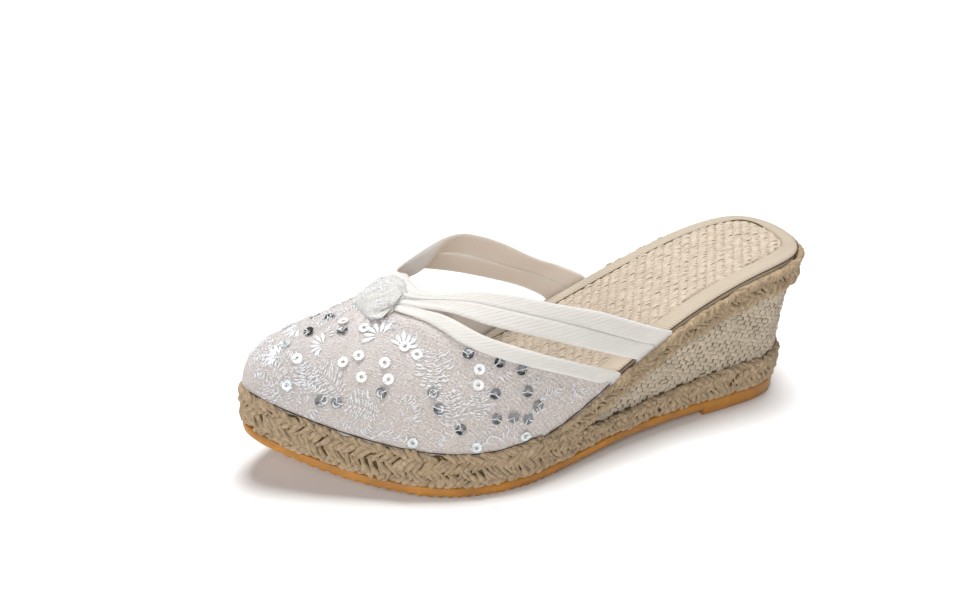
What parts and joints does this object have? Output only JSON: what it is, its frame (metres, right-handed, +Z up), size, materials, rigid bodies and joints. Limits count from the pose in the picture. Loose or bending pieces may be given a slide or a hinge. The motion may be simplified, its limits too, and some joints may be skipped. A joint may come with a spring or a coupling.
{
  "type": "wedge mule",
  "caption": "Closed-toe wedge mule for the left foot: hollow lace vamp, tape straps gathered by a loop, woven footbed, jute-bound cloth wedge and gum-rubber outsole.",
  "frame": {"origin": "on the floor, under the middle of the shoe's bounding box", "axes": "+Z up, toe to -Y, heel to +Y, outer (little-toe) side of the left foot to +X"},
  "size_m": [0.0866, 0.2439, 0.0771],
  "materials": {
    "gum_rubber": "satin amber gum rubber, faintly translucent",
    "wedge_cloth": "matt grey-beige basket-weave cloth",
    "jute_braid": "matt plaited jute, slightly hairy",
    "woven_straw": "cream ribbed straw-like weave with a twill binding",
    "lace": "white embroidered lace over a pale lining, with sequins",
    "cotton_tape": "matt off-white cotton twill tape"
  },
  "bodies": {
    "root": {"outsole": "gum_rubber", "wedge": "wedge_cloth", "lower_braid": "jute_braid", "upper_braid": "jute_braid", "insole": "woven_straw", "upper": "lace", "strap_back": "cotton_tape", "strap_middle": "cotton_tape", "strap_front": "cotton_tape", "lace_loop": "lace"}
  },
  "joints": []
}
